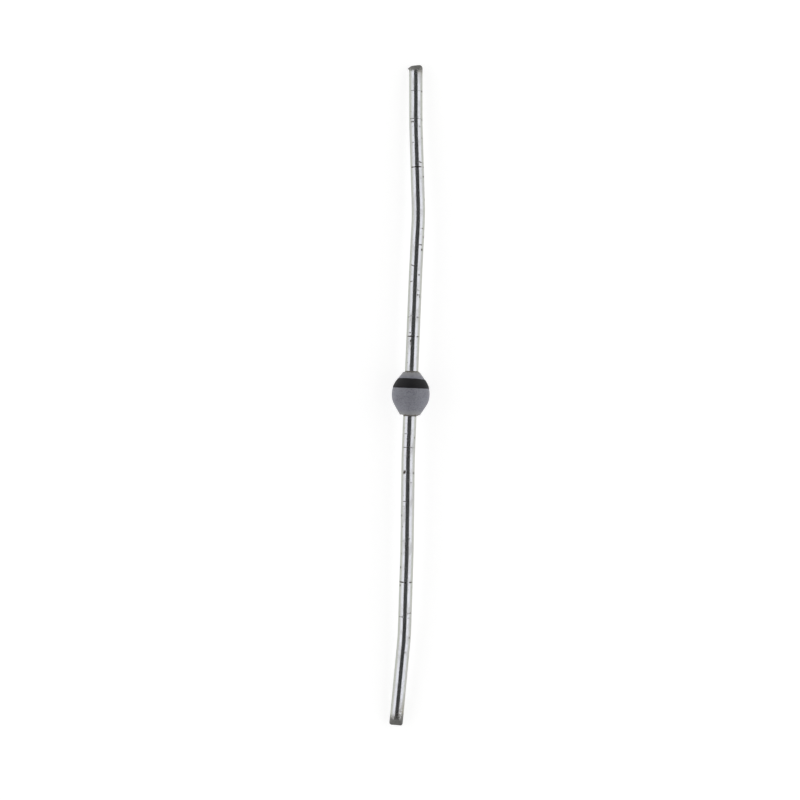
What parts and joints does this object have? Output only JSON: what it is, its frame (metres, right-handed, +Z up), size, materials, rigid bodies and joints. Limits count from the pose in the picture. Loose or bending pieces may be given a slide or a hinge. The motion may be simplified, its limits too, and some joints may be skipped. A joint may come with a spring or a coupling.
{
  "type": "axial rectifier diode",
  "caption": "Axial rectifier diode: a short sintered glass bead with a dark cathode band, on thick tinned wire leads that are slightly bent and sheared at the ends.",
  "frame": {"origin": "on the supporting plane, straight below the middle of the glass bead", "axes": "+Y along the bead's axis towards the cathode lead, +Z up, +X to the right of +Y seen from above"},
  "size_m": [0.0036, 0.0635, 0.0036],
  "materials": {
    "sintered_glass": "matte, finely speckled blue-grey sintered glass",
    "band_ink": "thin matte black ink",
    "silicon": "smooth dark grey silicon with an etched edge",
    "aluminium_bond": "dull alloyed aluminium",
    "molybdenum": "turned grey metal",
    "braze": "dark brown oxidised silver-copper braze",
    "tinned_copper": "bright tin with fine die marks and light tarnish"
  },
  "bodies": {
    "root": {"glass_bead": "sintered_glass", "cathode_band": "band_ink", "silicon_die": "silicon", "cathode_bond": "aluminium_bond", "anode_bond": "aluminium_bond", "cathode_stud": "molybdenum", "anode_stud": "molybdenum", "cathode_braze": "braze", "anode_braze": "braze", "cathode_lead": "tinned_copper", "anode_lead": "tinned_copper"}
  },
  "joints": []
}
